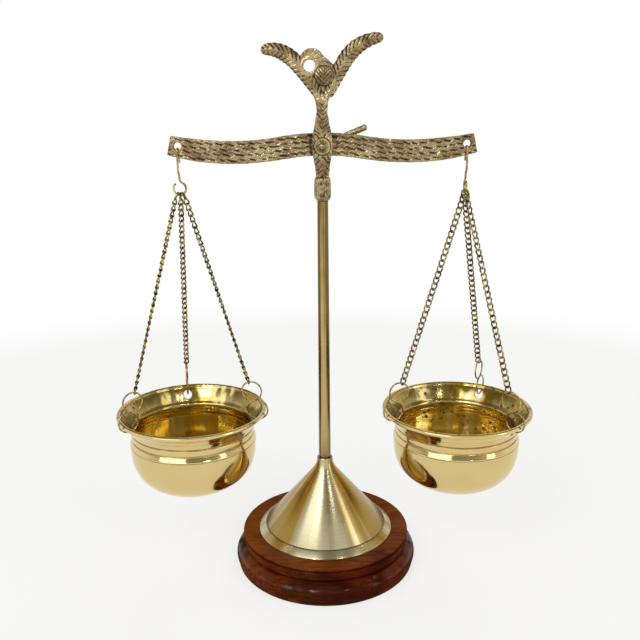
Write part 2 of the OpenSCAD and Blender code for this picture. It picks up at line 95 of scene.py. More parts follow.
class Graph:
    """The nodes of one material or world."""

    def __init__(self, tree: bpy.types.NodeTree) -> None:
        """Starts from an empty tree."""
        self.tree = tree
        tree.nodes.clear()

    def node(self, kind: str, sockets: dict | None = None, **settings: str) -> bpy.types.Node:
        """Adds any node.

        Args:
            kind: The node's type.
            sockets: Values or signals by socket name or number.
            **settings: The node's own settings, set before its sockets.

        Returns:
            The new node.
        """
        made = self.tree.nodes.new(kind)
        for name, value in settings.items():
            setattr(made, name, value)
        for name, value in (sockets or {}).items():
            socket = made.inputs[name]
            if isinstance(value, Signal):
                self.tree.links.new(value.socket, socket)
            elif isinstance(value, tuple) and len(value) == 3 and socket.type == "RGBA":
                socket.default_value = (*value, 1.0)
            else:
                socket.default_value = value
        return made

    def signal(
        self, kind: str, sockets: dict | None = None, output: int | str = 0, **settings: str
    ) -> Signal:
        """Adds a node as node() does, and returns one of its outputs."""
        return Signal(self, self.node(kind, sockets, **settings).outputs[output])

    def attribute(self, name: str) -> Signal:
        """A number that the mesh carries."""
        return self.signal("ShaderNodeAttribute", output="Fac", attribute_name=name)

    def math(self, operation: str, *values: Signal | float) -> Signal:
        """Adds one Math node."""
        return self.signal("ShaderNodeMath", dict(enumerate(values)), operation=operation)

    def mix(self, factor: Signal | float, low: Signal | Triple, high: Signal | Triple) -> Signal:
        """Mixes two colours by a factor."""
        return self.signal("ShaderNodeMix", {0: factor, 6: low, 7: high}, 2, data_type="RGBA")

    def vector(self, operation: str, *values: Signal | Triple, output: int | str = 0) -> Signal:
        """Adds one Vector Math node."""
        sockets = dict(enumerate(values))
        return self.signal("ShaderNodeVectorMath", sockets, output, operation=operation)

    def part(self, vector: Signal, axis: str) -> Signal:
        """The X, Y or Z of a vector."""
        return self.signal("ShaderNodeSeparateXYZ", {0: vector}, axis)

    def place(
        self, scale: Triple = (1.0, 1.0, 1.0), shift: Triple = (0.0, 0.0, 0.0),
        turn: Triple = (0.0, 0.0, 0.0),
    ) -> Signal:
        """Object coordinates for a pattern.

        Args:
            scale: How far they are stretched.
            shift: How far they are moved, in metres.
            turn: How far they are turned, in radians.

        Returns:
            The new coordinates.
        """
        here = self.signal("ShaderNodeTexCoord", output="Object")
        sockets = {"Vector": here, "Location": shift, "Rotation": turn, "Scale": scale}
        return self.signal("ShaderNodeMapping", sockets)

    def noise(self, scale: float, detail: float = 3.0, at: Signal | None = None) -> Signal:
        """Noise between 0 and 1 with so many waves in a metre."""
        sockets = {"Vector": at or self.place(), "Scale": scale, "Detail": detail}
        return self.signal("ShaderNodeTexNoise", sockets)

    def about(self, centre: Point = (0.0, 0.0)) -> tuple[Signal, Signal]:
        """Object coordinates from a centre in millimetres, and the same without their height."""
        at = self.place(shift=(-centre[0] * MM, -centre[1] * MM, 0.0))
        return at, self.vector("MULTIPLY", at, (1.0, 1.0, 0.0))

    def round_the_axis(self, centre: Point = (0.0, 0.0)) -> tuple[Signal, Signal]:
        """Distance from the upright axis at a centre, and height, both in metres."""
        at, level = self.about(centre)
        return self.vector("LENGTH", level, output="Value"), self.part(at, "Z")

    def bearing(self, centre: Point = (0.0, 0.0)) -> Signal:
        """Level direction away from an upright axis, at length 1."""
        return self.vector("NORMALIZE", self.about(centre)[1])

    def lathe_lines(self, centre: Point, waves: float) -> Signal:
        """Noise that is the same all the way round an axis, as a lathe tool leaves it.

        Args:
            centre: The axis in millimetres.
            waves: How many waves a metre has.

        Returns:
            The noise, 0 to 1.
        """
        radius, height = self.round_the_axis(centre)
        at = self.signal("ShaderNodeCombineXYZ", {"X": radius, "Y": height})
        return self.noise(waves, 2.0, at)

    def seams(
        self, height: Signal, places: Sequence[float], half: float, broken: float = 0.6
    ) -> Signal:
        """Dirty lines at some heights, broken along their length.

        Args:
            height: The height in metres.
            places: Heights of the lines in millimetres.
            half: Half of a line's width in millimetres.
            broken: How much of a line's depth its gaps lose.

        Returns:
            1 in the lines and 0 away from them.
        """
        lines = [
            1.0 - (height - place * MM).size().ramp(half * 0.3 * MM, half * MM) for place in places
        ]
        gaps = self.noise(140.0, 2.0).ramp(0.3, 0.55) * broken + (1.0 - broken)
        return sum(lines[1:], lines[0]) * gaps

    def bump(self, height: Signal, distance: float, strength: float = 1.0) -> Signal:
        """Turns heights into a normal, with the distance in millimetres."""
        sockets = {"Height": height, "Distance": distance * MM, "Strength": strength}
        return self.signal("ShaderNodeBump", sockets)

    def seen(self) -> Signal:
        """Tells rays that show a surface from rays that only light one.

        Returns:
            1 for rays from the camera and for mirrored ones.
        """
        path = self.node("ShaderNodeLightPath")
        names = ("Is Camera Ray", "Is Glossy Ray", "Is Transmission Ray")
        camera, glossy, through = (Signal(self, path.outputs[name]) for name in names)
        return camera + glossy + through

    def surface(self, sockets: dict) -> None:
        """Ends the material in one Principled shader."""
        shader = self.signal("ShaderNodeBsdfPrincipled", sockets)
        self.node("ShaderNodeOutputMaterial", {"Surface": shader})


@dataclass(frozen=True)
class Finish:
    """What every finish shares: its own name, and the record's slot that it stands for, which is
    not used.
    """

    label: str
    slot: str

    def build(self, graph: Graph) -> None:
        """Fills the material's nodes.

        Args:
            graph: The material's empty graph.
        """
        raise NotImplementedError

    def material(self) -> bpy.types.Material:
        """Makes the finish on its first use.

        Returns:
            The finish as a material.
        """
        name = "finish_" + self.label
        made = bpy.data.materials.get(name)
        if made is None:
            made = bpy.data.materials.new(name)
            made.use_nodes = True
            self.build(Graph(made.node_tree))
        return made


@dataclass(frozen=True)
class PolishedBrass(Finish):
    """Mirror-polished brass with groups of tarnish spots, dirt in its turned lines, and painted
    reflection inside.
    """

    centre: Point = (0.0, 0.0)
    spot_share: float = 0.70
    lines: tuple[float, ...] = (82.6, 86.75, 79.2)
    line_half: float = 0.42
    tool: float = 900.0
    clean: Triple = (0.70, 0.545, 0.245)
    warm: Triple = (0.68, 0.47, 0.14)
    # The inside's tones are painted reflection: a gold bowl with pale bands, and a darker neck with
    # amber patches.
    bowl: Triple = (0.78, 0.55, 0.11)
    reflection_band: Triple = (0.86, 0.77, 0.42)
    neck: Triple = (0.47, 0.39, 0.165)
    amber: Triple = (0.38, 0.255, 0.045)
    recess: Point = (82.0, 86.0)
    spot: Triple = (0.13, 0.045, 0.012)
    dirt: Triple = (0.10, 0.06, 0.02)

    def within(self, graph: Graph, height: Signal) -> Signal:
        """Inside, painted as reflection: pale upright bands in the bowl, and golden patches on the
        neck over it.

        Args:
            graph: The material's graph.
            height: The height in metres.

        Returns:
            The colour.
        """
        # Painted reflection: pale upright bands round the bowl, standing for reflected windows.
        reflection_streaks = graph.noise(3.2, 4.0, graph.bearing(self.centre)).ramp(0.46, 0.57)
        tint = graph.noise(55.0, 4.0, graph.place(shift=(0.2, 0.0, 0.0))).ramp(0.38, 0.62)
        bowl = graph.mix(reflection_streaks, self.bowl, self.reflection_band)
        neck = graph.mix(tint, self.neck, self.amber)
        low, high = (edge * MM for edge in self.recess)
        return graph.mix(height.ramp(low, high), bowl, neck)

    def spots(self, graph: Graph, inside: Signal) -> Signal:
        """Dark spots that come in groups, with more of them inside.

        Args:
            graph: The material's graph.
            inside: 1 on the pan's inner face.

        Returns:
            1 in the spots and 0 between them.
        """
        sockets = {"Vector": graph.place(), "Scale": 250.0}
        cells = graph.signal("ShaderNodeTexVoronoi", sockets, "Distance")
        share = self.spot_share + 0.16 - inside * 0.21
        groups = (graph.noise(30.0, 1.0) - share).ramp(0.0, 0.08)
        return (1.0 - (cells + graph.noise(300.0) * 0.5).ramp(0.44, 0.62)) * groups

    def build(self, graph: Graph) -> None:
        """Warm patches, dark spots, dirty lines, lathe lines, faint upright waves, and painted
        reflection inside.
        """
        _, height = graph.round_the_axis(self.centre)
        inside = graph.attribute("inside")
        patches = graph.noise(38.0, 4.0).ramp(0.45, 0.75)
        spots = self.spots(graph, inside)
        dirty = graph.seams(height, self.lines, self.line_half)
        lathe = graph.lathe_lines(self.centre, self.tool)
        upright = graph.noise(80.0, 2.0, graph.place(scale=(1.0, 1.0, 0.12)))
        waves = upright + graph.noise(26.0, 2.0) * 2.0
        colour = graph.mix(patches * 0.5, self.clean, self.warm)
        # The inside takes its painted reflection tones.
        colour = graph.mix(inside, colour, self.within(graph, height))
        colour = graph.mix(spots * 0.9, colour, self.spot)
        rough = graph.noise(90.0) * 0.12 + inside * 0.07 + 0.05 + spots * 0.3 + dirty * 0.3
        graph.surface({
            "Base Color": graph.mix(dirty * 0.65, colour, self.dirt),
            "Metallic": 1.0 - dirty * 0.5 - spots * 0.4,
            "Roughness": rough,
            "Normal": graph.bump(lathe * 0.005 + waves * (inside * 0.75 + 0.32), 1.0),
        })


@dataclass(frozen=True)
class TurnedBrass(Finish):
    """Satin brass off the lathe: golden, and pale along the front and back as painted reflection.
    """

    # The light tone is the pale of the painted reflection; the deep tone is the brass's own gold.
    light: Triple = (0.53, 0.48, 0.305)
    deep: Triple = (0.37, 0.235, 0.055)
    tool: float = 1500.0
    lines: tuple[float, ...] = (25.2, 68.2)
    line_half: float = 0.27
    dirt: Triple = (0.03, 0.017, 0.006)
    rough: float = 0.17
    band_z: float = 25.2
    streaks: float = 0.0
    darker: float = 0.0

    def tone(self, graph: Graph, height: Signal, clouds: Signal, upright: Signal) -> Signal:
        """Fans and streaks up the flank. Painted reflection: the fans, pale front and back, a paler
        low band, the rod's darker top.

        Args:
            graph: The material's graph.
            height: The height in metres.
            clouds: Broad noise.
            upright: Noise stretched along the height.

        Returns:
            0 in golden places and 1 in pale ones.
        """
        bearing = graph.bearing()
        # Painted reflection: pale along the front and back.
        facing = graph.part(bearing, "Y").size()
        # Painted reflection streaks: pale and golden fans round the axis.
        reflection_fans = graph.noise(5.0, 7.0, bearing)
        # Painted reflection: paler below the engraved line.
        reflection_band = 1.0 - height.ramp(self.band_z * MM, (self.band_z + 0.4) * MM)
        tone = facing.ramp(0.66, 1.0) + (reflection_fans - 0.5) * 3.2 + (clouds - 0.5) * 1.2 + reflection_band * 0.6
        # Painted reflection: darker higher up, towards the socket on the rod.
        painted_dark_top = height.ramp(0.075, 0.2) * self.darker
        return (tone + (upright - 0.5) * self.streaks - painted_dark_top).ramp(0.05, 1.0)

    def build(self, graph: Graph) -> None:
        """Tool lines in roughness and bump over two tones in streaks up the flank; the pale tone is
        painted reflection.
        """
        _, height = graph.round_the_axis()
        tool = graph.lathe_lines((0.0, 0.0), self.tool)
        clouds = graph.noise(42.0, 4.0)
        upright = graph.noise(420.0, 3.0, graph.place(scale=(1.0, 1.0, 0.03)))
        colour = graph.mix(self.tone(graph, height, clouds, upright), self.deep, self.light)
        dirty = graph.seams(height, self.lines, self.line_half, 0.2)
        graph.surface({
            "Base Color": graph.mix(dirty * 0.95, colour, self.dirt),
            "Metallic": 1.0 - dirty * 0.6,
            "Roughness": tool * 0.13 + clouds * 0.09 + self.rough,
            "Anisotropic": 0.65,
            "Anisotropic Rotation": 0.25,
            "Normal": graph.bump(tool * 0.0065 + upright * self.streaks * 0.05, 1.0),
        })


@dataclass(frozen=True)
class CastBrass(Finish):
    """Sand-cast brass: rubbed bright on its high places and brown in its hollows."""

    high: Triple = (0.46, 0.37, 0.20)
    mid: Triple = (0.25, 0.155, 0.068)
    hollow: Triple = (0.035, 0.019, 0.008)
    soil: float = 0.0

    def build(self, graph: Graph) -> None:
        """Patina by the hollows that the mesh carries, which also hold painted shade on the beam
        and eagle, and a sandy grain.
        """
        # The hollow mark holds patina, and also painted shade beside the beam's hub and along the
        # wings' edges.
        hollow = graph.attribute("hollow")
        grain = graph.noise(700.0, 4.0)
        patina = (graph.noise(110.0, 5.0) + (graph.noise(700.0, 2.0) - 0.5) * 0.3).ramp(0.34, 0.66)
        dirt = (hollow * 1.15 + (grain - 0.5) * 0.9 + patina * 0.12 + self.soil).ramp(0.06, 0.90)
        colour = graph.mix(patina * 0.85, self.high, self.mid)
        graph.surface({
            "Base Color": graph.mix(dirt, colour, self.hollow),
            "Metallic": 1.0 - dirt * 0.5,
            "Roughness": dirt * 0.3 + patina * 0.14 + 0.24,
            "Normal": graph.bump(grain + graph.noise(450.0, 2.0) * 1.8, 0.22, 0.9),
        })


@dataclass(frozen=True)
class DrawnWire(Finish):
    """Drawn brass wire that has gone brown between its rubbed places."""

    bright: Triple = (0.48, 0.36, 0.09)
    dull: Triple = (0.055, 0.033, 0.007)

    def build(self, graph: Graph) -> None:
        """Dull patches along the wire."""
        patches = graph.noise(380.0).ramp(0.34, 0.62)
        graph.surface({
            "Base Color": graph.mix(patches, self.bright, self.dull),
            "Metallic": 1.0,
            "Roughness": patches * 0.22 + 0.2,
            "Normal": graph.bump(graph.noise(1400.0, 2.0), 0.03, 0.5),
        })


@dataclass(frozen=True)
class VarnishedWood(Finish):
    """Reddish-brown turned wood under gloss varnish."""

    dark: Triple = (0.018, 0.003, 0.001)
    mid: Triple = (0.095, 0.011, 0.002)
    light: Triple = (0.195, 0.058, 0.007)
    lit_top_z: float = 21.0
    lines: tuple[float, ...] = (19.5, 13.2)
    shoulder: Point = (9.5, 12.8)
    turn: Triple = (0.25, 0.1, 0.35)

    def build(self, graph: Graph) -> None:
        """Growth rings cut through along X, fine pores, dirty lines, shade painted on the sides,
        and varnish rubbed up.
        """
        broad = graph.noise(14.0, 4.0, graph.place(scale=(1.0, 6.0, 9.0), turn=self.turn))
        rings = (broad * 46.0).sine() * 0.5 + 0.5
        pores = graph.noise(120.0, 3.0, graph.place(scale=(1.0, 14.0, 14.0), turn=self.turn))
        stain = graph.noise(26.0, 4.0).ramp(0.36, 0.6)
        _, height = graph.round_the_axis()
        # Painted shade: below the top face the side is redder and darker; the top is kept as the
        # lit face.
        side = 1.0 - height.ramp((self.lit_top_z - 0.4) * MM, (self.lit_top_z + 0.4) * MM)
        smudges = graph.noise(34.0, 3.0, graph.place(shift=(0.3, 0.1, 0.0))).ramp(0.5, 0.66)
        dirty = graph.seams(height, self.lines, 0.5, 0.15)
        # The side share in these mixes is painted shade; rings, stains, pores, smudges and lines
        # are the wood's own.
        redder = (rings * 0.3 + stain * 0.4 + side * 0.4).ramp(0.0, 1.0)
        darker = pores.ramp(0.50, 0.72) * 0.5 + smudges * 0.55 + side * 0.15 + dirty
        colour = graph.mix(redder, self.light, self.mid)
        colour = graph.mix(darker.ramp(0.0, 1.0) * 0.85, colour, self.dark)
        low, high = (edge * MM for edge in self.shoulder)
        rubbed = height.ramp(low - MM, low) * (1.0 - height.ramp(high - MM, high))
        rubbed = rubbed * graph.noise(90.0).ramp(0.34, 0.58)
        graph.surface({
            "Base Color": colour,
            "Roughness": pores * 0.15 + 0.4,
            "Specular IOR Level": 0.0,
            "Coat Weight": rubbed * 0.6 + 0.05,
            "Coat Roughness": 0.09,
            "Normal": graph.bump(pores * 0.03 + graph.noise(75.0, 2.0) * 0.35, 1.0),
        })


@dataclass(frozen=True)
class PlatedSteel(Finish):
    """Plain plated steel for the nut and washer under the base."""

    tone: Triple = (0.55, 0.55, 0.57)
    shade: Triple = (0.40, 0.40, 0.43)

    def build(self, graph: Graph) -> None:
        """A cloudy zinc surface."""
        cloud = graph.noise(200.0)
        graph.surface({
            "Base Color": graph.mix(cloud, self.tone, self.shade),
            "Metallic": 1.0,
            "Roughness": cloud * 0.2 + 0.3,
        })


class Finishes(Enum):
    """The finishes of this scale."""

    WOOD = VarnishedWood("varnished_wood", "varnished_wood")
    TURNED = TurnedBrass("turned_brass", "turned_brass")
    # The rod's darker top and its pale front and back are painted reflection.
    ROD = TurnedBrass(
        "rod_brass", "turned_brass", (0.54, 0.40, 0.17), (0.18, 0.115, 0.036), lines=(68.5, 223.7),
        rough=0.10, streaks=1.6, darker=0.5,
    )
    CAST = CastBrass("cast_brass", "cast_brass")
    BOLT = CastBrass("bolt_brass", "cast_brass", soil=0.34)
    WIRE = DrawnWire("brass_wire", "brass_wire")
    HOOK = DrawnWire("hook_wire", "brass_wire", (0.62, 0.49, 0.21), (0.27, 0.175, 0.06))
    STEEL = PlatedSteel("steel_hardware", "steel_hardware")
    # The left pan's inside takes darker painted reflection tones than the right's.
    LEFT_PAN = PolishedBrass(
        "polished_brass_left", "polished_brass", (-ARM, BEAM_Y), 0.66,
        bowl=(0.74, 0.50, 0.09), reflection_band=(0.68, 0.56, 0.22),
    )
    RIGHT_PAN = PolishedBrass("polished_brass_right", "polished_brass", (ARM, BEAM_Y), 0.50)


def unit(vector: Vector) -> Vector:
    """The vector at length 1."""
    return vector.normalized()


def arc(centre: Point, radius: float, start: float, end: float, steps: int) -> list[Point]:
    """Points of a circle's arc, with angles in degrees."""
    angles = (math.radians(start + (end - start) * i / steps) for i in range(steps + 1))
    return [(centre[0] + radius * math.cos(a), centre[1] + radius * math.sin(a)) for a in angles]


def moved(points: Sequence[Point], r: float, z: float) -> list[Point]:
    """The points, moved out by r and up by z."""
    return [(r + point[0], z + point[1]) for point in points]


def smooth(value: float, low: float, high: float) -> float:
    """0 below low, 1 above high, and smooth between them."""
    share = min(1.0, max(0.0, (value - low) / (high - low)))
    return share * share * (3 - 2 * share)


def near(value: float, place: float, width: float) -> float:
    """1 at a place and 0 from so far off it on both sides."""
    return 1 - smooth(abs(value - place), 0.0, width)


def strokes(angle: float, wide: float, thin: float = 0.0) -> float:
    """Cuts in a row: 1 wherever the angle in radians is a half turn on, and 0 between."""
    return 1 - smooth(abs(math.sin(angle)), thin, wide)


def waver(x: float, y: float, layer: float, scale: float = 1.0) -> float:
    """Noise about 0 over a face, with another pattern in every layer."""
    return noise.noise(Vector((x, y, layer)) * scale)


def added(name: str, data: bpy.types.ID) -> bpy.types.Object:
    """A new object in the scene."""
    made = bpy.data.objects.new(name, data)
    bpy.context.scene.collection.objects.link(made)
    return made


def shaped(name: str, mesh: bmesh.types.BMesh) -> bpy.types.Mesh:
    """Ends the work on a mesh.

    Args:
        name: The name of its data.
        mesh: The mesh, which is freed.

    Returns:
        Its data.
    """
    data = bpy.data.meshes.new(name)
    mesh.to_mesh(data)
    mesh.free()
    return data


def evaluated(made: bpy.types.Object) -> bpy.types.Mesh:
    """The object's mesh with its modifiers applied."""
    bpy.context.view_layer.update()
    graph = bpy.context.evaluated_depsgraph_get()
    return bpy.data.meshes.new_from_object(made.evaluated_get(graph))


def redress(node: str, finish: Finishes) -> None:
    """Gives a CAD node that keeps its own shape a better material.

    Args:
        node: The CAD node.
        finish: The material.
    """
    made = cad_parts[node]
    made.data.materials.clear()
    made.data.materials.append(finish.value.material())
    log.info("%s: kept, %s", node, finish.value.label)


class Blank:
    """A piece in the making, in millimetres."""

    def __init__(self, source: bpy.types.Mesh | None = None) -> None:
        """Starts empty, or from a mesh in metres."""
        self.mesh = bmesh.new()
        if source is not None:
            self.mesh.from_mesh(source)
            bmesh.ops.scale(self.mesh, vec=(1 / MM,) * 3, verts=self.mesh.verts)

    def spin(self, profile: Sequence[Point], steps: int, closed: bool = False) -> "Blank":
        """Turns a line of (radius, height) points round the Z axis.

        Args:
            profile: The line.
            steps: How many steps make the full turn.
            closed: Whether the last point joins the first.

        Returns:
            This blank.
        """
        verts = [self.mesh.verts.new((r, 0.0, z)) for r, z in profile]
        pairs = list(zip(verts, verts[1:])) + ([(verts[-1], verts[0])] if closed else [])
        edges = [self.mesh.edges.new(pair) for pair in pairs]
        bmesh.ops.spin(
            self.mesh, geom=verts + edges, cent=(0, 0, 0), axis=(0, 0, 1), angle=math.tau,
            steps=steps, use_merge=True,
        )
        bmesh.ops.remove_doubles(self.mesh, verts=self.mesh.verts, dist=1e-4)
        bmesh.ops.recalc_face_normals(self.mesh, faces=self.mesh.faces)
        return self

    def move(self, matrix: Matrix) -> "Blank":
        """Moves everything so far."""
        bmesh.ops.transform(self.mesh, matrix=matrix, verts=self.mesh.verts)
        return self

    def hang(self, part: bpy.types.Mesh, place: Vector, x: Vector, z: Vector) -> None:
        """Adds a part.

        Args:
            part: Its mesh in millimetres.
            place: Where its origin goes.
            x: Where its X axis points.
            z: Where its Z axis points.
        """
        before = len(self.mesh.verts)
        self.mesh.from_mesh(part)
        self.mesh.verts.ensure_lookup_table()
        matrix = Matrix((x, z.cross(x), z)).transposed().to_4x4()
        matrix.translation = place
        bmesh.ops.transform(self.mesh, matrix=matrix, verts=self.mesh.verts[before:])

    def metres(self, name: str) -> bpy.types.Object:
        """Ends the work on the blank with a new object in metres."""
        bmesh.ops.scale(self.mesh, vec=(MM,) * 3, verts=self.mesh.verts)
        return added(name, shaped(name, self.mesh))

    def piece(
        self, name: str, finish: Finishes, body: str, nodes: Sequence[str], sharp: float = 40.0
    ) -> bpy.types.Object:
        """Finishes the blank as a piece of the scene.

        Args:
            name: The piece's name.
            finish: Its material.
            body: The body that it rides on.
            nodes: The CAD nodes that it stands for.
            sharp: The angle in degrees from which an edge stays sharp.

        Returns:
            The new object.
        """
        made = self.metres(name)
        made.data.shade_smooth()
        made.data.set_sharp_from_angle(angle=math.radians(sharp))
        made.data.materials.append(finish.value.material())
        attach(made, body)
        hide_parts(*nodes)
        log.info("%s: %d faces on %s", name, len(made.data.polygons), body)
        return made


@dataclass
class Casting:
    """A casting: the CAD node's form under one even skin, with relief pressed into it.

    The voxel is the size of the skin's faces in millimetres. The sandy grain is made of waves,
    each with its height in millimetres and how many of them a millimetre has.
    """

    node: str
    name: str
    body: str
    voxel: float
    grain: tuple[Point, ...] = ((0.13, 0.35), (0.07, 1.1))

    def relief(self, place: Vector, normal: Vector) -> Point:
        """The relief at a place.

        Args:
            place: The place in millimetres.
            normal: The skin's normal there.

        Returns:
            How far the skin moves out in millimetres, and how hollow it looks, 0 to 1.
        """
        raise NotImplementedError

    def form(self) -> Blank:
        """Lays a skin over the node's form.

        Returns:
            The skin.
        """
        merged = bmesh.new()
        merged.from_mesh(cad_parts[self.node].data)
        bmesh.ops.remove_doubles(merged, verts=merged.verts, dist=1e-6)
        form = added(self.node + "_form", shaped(self.node + "_form", merged))
        skin = form.modifiers.new("skin", "REMESH")
        skin.mode = "VOXEL"
        skin.voxel_size = self.voxel * MM
        made = Blank(evaluated(form))
        bpy.data.objects.remove(form)
        return made

    def build(self) -> None:
        """Presses the relief into the skin and notes the hollows for the patina."""
        blank = self.form()
        skin = blank.mesh
        skin.normal_update()
        hollows = skin.verts.layers.float.new("hollow")
        moves = []
        for vert in skin.verts:
            height, hollow = self.relief(vert.co, vert.normal)
            grain = sum(rise * noise.noise(vert.co * waves) for rise, waves in self.grain)
            moves.append(vert.normal * (height + grain))
            vert[hollows] = min(1.0, max(0.0, hollow - grain))
        for vert, move in zip(skin.verts, moves):
            vert.co += move
        blank.piece(self.name, Finishes.CAST, self.body, [self.node], sharp=180)


@dataclass
class WoodenBase:
    """Turned wooden base: a rounded disc over a groove and a bulging foot."""

    foot_r: float = 54.3
    widest_r: float = 55.45
    top_r: float = 51.0
    height: float = 21.5
    lip: float = 1.9
    recess_r: float = 10.0
    recess_depth: float = 9.0
    bore_r: float = 2.5
    round_r: float = 1.2
    bulge_r: float = 5.2
    bulge_share: float = 0.3
    groove_share: float = 0.62
    steps: int = 192

    def build(self) -> None:
        """Makes the base and dresses the nut and washer in its recess."""
        groove_z = self.height * self.groove_share
        line_z = self.height - self.lip
        foot = (self.foot_r - self.round_r, self.round_r)
        bulge = (self.widest_r - self.bulge_r, self.height * self.bulge_share)
        under = (self.top_r - 1.5, groove_z + 1.9)
        edge = (self.top_r - 0.85, self.height - 0.85)
        profile = [
            (self.bore_r, self.recess_depth),
            (self.recess_r, self.recess_depth),
            (self.recess_r, 0.4),
            (self.recess_r + 0.4, 0.0),
            *arc(foot, self.round_r, -90, 0, 5),
            *arc(bulge, self.bulge_r, -24, 62, 16),
            *moved([(-1.9, -0.7), (-1.7, 0.0), (-1.3, 0.5)], self.top_r, groove_z),
            *arc(under, self.round_r, -50, 0, 5),
            *moved([(-0.25, -0.5), (-0.5, -0.2), (-0.75, 0.0), (-0.45, 0.15)], self.top_r, line_z),
            *arc(edge, 0.8, -35, 90, 8),
            (self.bore_r, self.height),
        ]
        Blank().spin(profile, self.steps, closed=True).piece(
            "turned_base", Finishes.WOOD, "stand", ["wooden_base"]
        )
        redress("base_washer", Finishes.STEEL)
        redress("base_nut", Finishes.STEEL)


@dataclass
class ConeFoot:
    """Hollow brass cone with a thin lip, a flat flank, an engraved ring and a swept neck."""

    low_z: float = 21.5
    height: float = 46.6
    rim_r: float = 41.0
    line_r: float = 36.6
    line_z: float = 3.8
    neck_r: float = 4.6
    sweep: float = 13.0
    wall: float = 1.8
    roof: float = 9.0
    bore_r: float = 2.5
    steps: int = 192

    def line(self, inset: float) -> list[Point]:
        """The flank from the rim up to the neck.

        Args:
            inset: How far inside the outer face it lies.

        Returns:
            Its points, with Z from the rim.
        """
        flare = (self.line_r - inset, self.line_z)
        centre = (self.neck_r + self.sweep, self.height)
        reach = math.dist(centre, flare)
        sweep = self.sweep + inset
        lead = math.degrees(math.atan2(centre[1] - flare[1], centre[0] - flare[0]))
        lead += math.degrees(math.asin(sweep / reach))
        rim = self.rim_r - inset
        lip = [(rim, 0.0), (rim, 0.55), (rim - 0.25, 0.85)]
        return [*lip, flare, *arc(centre, sweep, lead + 90, 180, 24)]

    def build(self) -> None:
        """Makes the cone."""
        outer = self.line(0.0)
        groove = [(0.15, -0.12), (0.0, -0.3), (-0.25, -0.25), (-0.35, 0.25)]
        flank = outer[:3] + moved(groove, self.line_r, self.line_z) + outer[4:-1]
        neck = moved([(0.0, -0.6), (-0.35, 0.0)], self.neck_r, self.height)
        roof = self.height - self.roof
        inner = [p for p in self.line(self.wall) if 2.0 < p[1] < roof]
        bore = [(self.bore_r, self.height), (self.bore_r, roof), (inner[-1][0], roof)]
        profile = [*flank, *neck, *bore, *inner[::-1], (self.line_r - 1.0, 0.0)]
        Blank().spin(profile, self.steps, closed=True).move(
            Matrix.Translation((0, 0, self.low_z))
        ).piece("turned_cone", Finishes.TURNED, "stand", ["cone_foot"], sharp=30)


@dataclass
class Column:
    """Slightly tapered rod on the cone's neck, with its stud down through cone and base."""

    low_z: float = 68.1
    high_z: float = 234.2
    low_r: float = 3.65
    high_r: float = 3.05
    stud_r: float = 2.4
    stud_z: float = 2.8
    steps: int = 64

    def build(self) -> None:
        """Makes the rod with its stud."""
        profile = [
            (0.0, self.stud_z),
            (self.stud_r - 0.4, self.stud_z),
            (self.stud_r, self.stud_z + 0.4),
            (self.stud_r, self.low_z),
            *moved([(-0.5, 0.0), (-0.5, 0.6), (-0.15, 0.75), (0.0, 1.1)], self.low_r, self.low_z),
            (self.high_r, self.high_z),
            (0.0, self.high_z),
        ]
        Blank().spin(profile, self.steps).piece(
            "round_column", Finishes.ROD, "stand", ["column"], sharp=30
        )


@dataclass
class Feathers:
    """One wing's spine, and the barbs along it."""

    spine: tuple[Point, Point, Point, Point]
    tip: float
    upper: int
    half: float = 5.1
    root: float = 2.6
    pitch: float = 2.7
    slant: float = 1.1
    samples: int = 90

    def __post_init__(self) -> None:
        """Walks along the spine once."""
        self.stations: list[tuple[Vector, Vector, float, float]] = []
        run, last = 0.0, None
        for i in range(self.samples + 1):
            t = i / self.samples
            here = self.at(t)
            along = unit(self.at(min(1.0, t + 0.01)) - self.at(max(0.0, t - 0.01)))
            run += (here - last).length if last else 0.0
            width = self.half + (self.tip - self.half) * t**3 - self.root * (1 - t) ** 2
            self.stations.append((here, along, run, width))
            last = here

    def at(self, t: float) -> Vector:
        """A place along the spine.

        Args:
            t: 0 at the root and 1 at the tip.

        Returns:
            The place.
        """
        p = [Vector(point) for point in self.spine]
        s = 1 - t
        return s**3 * p[0] + 3 * t * s * s * p[1] + 3 * t * t * s * p[2] + t**3 * p[3]

    def relief(self, here: Vector) -> tuple[float, float, float] | None:
        """The barbs at a place.

        Args:
            here: The place as seen from the front.

        Returns:
            Height, hollow and share of the wing's width, or None off the wing.
        """
        place, along, run, width = min(self.stations, key=lambda s: (s[0] - here).length_squared)
        gap = here - place
        turned = (along.x * gap.y - along.y * gap.x) * self.upper
        across = abs(turned)
        share = across / width
        if share > 1.15 or gap.length > width * 1.4:
            return None
        slant, depth = (self.slant, 1.0) if turned > 0 else (self.slant * 0.6, 0.6)
        phase = (run + along.dot(gap) - slant * across) / self.pitch
        groove = strokes(math.pi * phase, 0.72, 0.05) * smooth(across, 0.2, 0.8)
        groove *= depth * (0.7 + 0.3 * share + 0.5 * waver(*here, 2.0, 0.3))
        rib = (1 - smooth(across, 0.2, 0.9)) * 0.12
        # Painted shade: darker towards the wing's edges, where they round away, with random patina
        # over it.
        edge = 0.3 * smooth(share, 0.7, 1.0) + 0.3 * waver(*here, 7.0, 0.22)
        return rib - 0.7 * groove - 0.55 * share * share, groove + edge + 0.09, share


